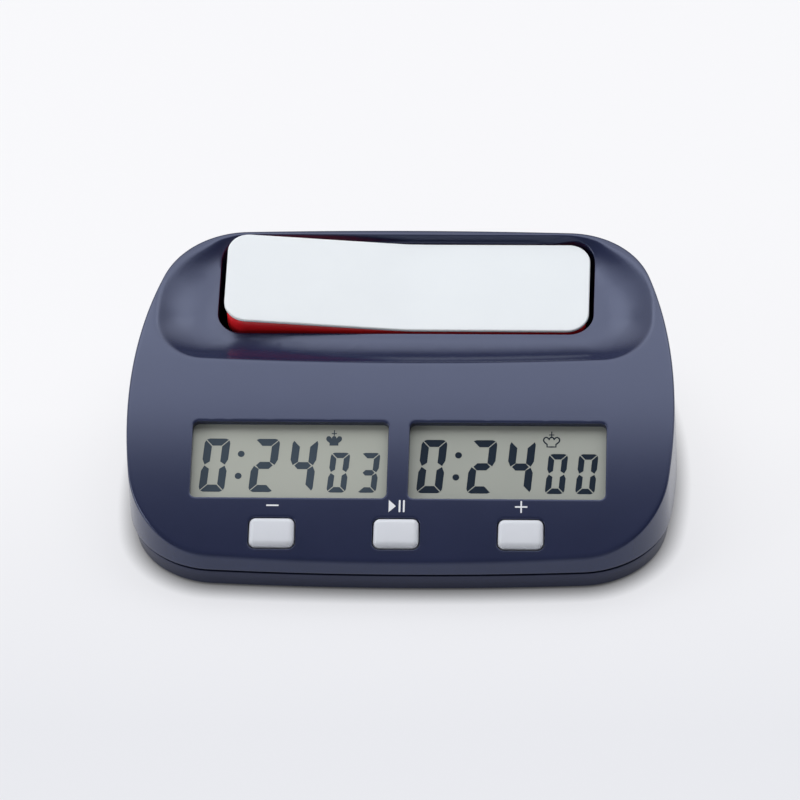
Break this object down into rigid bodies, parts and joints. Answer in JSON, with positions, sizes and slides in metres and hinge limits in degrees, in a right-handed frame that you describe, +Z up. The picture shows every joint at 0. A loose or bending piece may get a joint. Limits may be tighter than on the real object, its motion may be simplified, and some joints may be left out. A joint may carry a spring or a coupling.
{
  "type": "digital chess clock",
  "caption": "Wedge-shaped digital chess clock with a curved sloping face, twin displays, a row of push keys and a long bent rocker in a scooped recess.",
  "frame": {"origin": "on the table under the middle of the housing", "axes": "+X to the right along the rocker, +Y to the back, +Z up; the sloping face looks to -Y and up"},
  "size_m": [0.15, 0.101, 0.0446],
  "materials": {
    "navy_plastic": "fine satin texture",
    "white_plastic": "satin",
    "red_plastic": "satin",
    "key_plastic": "satin",
    "display": "smooth",
    "display_strip": "matte",
    "circuit_board": "solder mask",
    "steel": "plain",
    "black_plastic": "matte",
    "switch_plastic": "matte",
    "battery_case": "printed sleeve",
    "foot_rubber": "matte",
    "red_wire": "smooth",
    "black_wire": "smooth",
    "grey_wire": "smooth"
  },
  "bodies": {
    "housing": {"upper_shell": "navy_plastic", "lower_shell": "navy_plastic", "rocker_pin": "steel", "toggle_switch_case": "black_plastic", "rocker_board": "circuit_board", "rocker_board_screws": "steel", "main_board": "circuit_board", "main_board_screws": "steel", "lcd_left": "display", "lcd_right": "display", "lcd_connector_left": "display_strip", "lcd_connector_right": "display_strip", "minus_switch": "black_plastic", "pause_switch": "black_plastic", "plus_switch": "black_plastic", "controller_blob": "black_plastic", "quartz_crystal": "steel", "buzzer": "black_plastic", "battery": "battery_case", "battery_spring": "steel", "battery_plate": "steel", "power_switch_case": "black_plastic", "foot_front_left": "foot_rubber", "foot_front_right": "foot_rubber", "foot_back_left": "foot_rubber", "foot_back_right": "foot_rubber", "housing_screws": "steel", "battery_wire_red": "red_wire", "battery_wire_black": "black_wire", "rocker_cable": "grey_wire"},
    "rocker": {"rocker_cap": "white_plastic", "rocker_skirt": "red_plastic"},
    "toggle": {"toggle_switch_slider": "switch_plastic"},
    "minus_key": {"minus_button": "key_plastic", "minus_plunger": "switch_plastic"},
    "pause_key": {"pause_button": "key_plastic", "pause_plunger": "switch_plastic"},
    "plus_key": {"plus_button": "key_plastic", "plus_plunger": "switch_plastic"},
    "door": {"battery_door": "navy_plastic"},
    "power_knob": {"power_switch_knob": "switch_plastic"}
  },
  "joints": [
    {"name": "rocker_pivot", "type": "hinge", "parent": "housing", "child": "rocker", "pos_m": [0, 0.03322, 0.03129], "axis": [0, -0.9781, -0.2079], "range_deg": [0, 5.8]},
    {"name": "toggle_slide", "type": "slide", "parent": "housing", "child": "toggle", "axis": [1, 0, 0], "range_m": [0, 0.0013]},
    {"name": "minus_press", "type": "slide", "parent": "housing", "child": "minus_key", "axis": [0, 0.3831, -0.9237], "range_m": [0, 0.0005], "stiffness_N_per_m": 2000},
    {"name": "pause_press", "type": "slide", "parent": "housing", "child": "pause_key", "axis": [0, 0.3831, -0.9237], "range_m": [0, 0.0005], "stiffness_N_per_m": 2000},
    {"name": "plus_press", "type": "slide", "parent": "housing", "child": "plus_key", "axis": [0, 0.3831, -0.9237], "range_m": [0, 0.0005], "stiffness_N_per_m": 2000},
    {"name": "door_hinge", "type": "hinge", "parent": "housing", "child": "door", "pos_m": [0, 0.01094, 0.0027], "axis": [1, 0, 0], "range_deg": [0, 75]},
    {"name": "power_slide", "type": "slide", "parent": "housing", "child": "power_knob", "axis": [1, 0, 0], "range_m": [0, 0.0025]}
  ],
  "couplings": [
    {"joint": "toggle_slide", "follows": "rocker_pivot", "m_per_rad": 0.012}
  ]
}
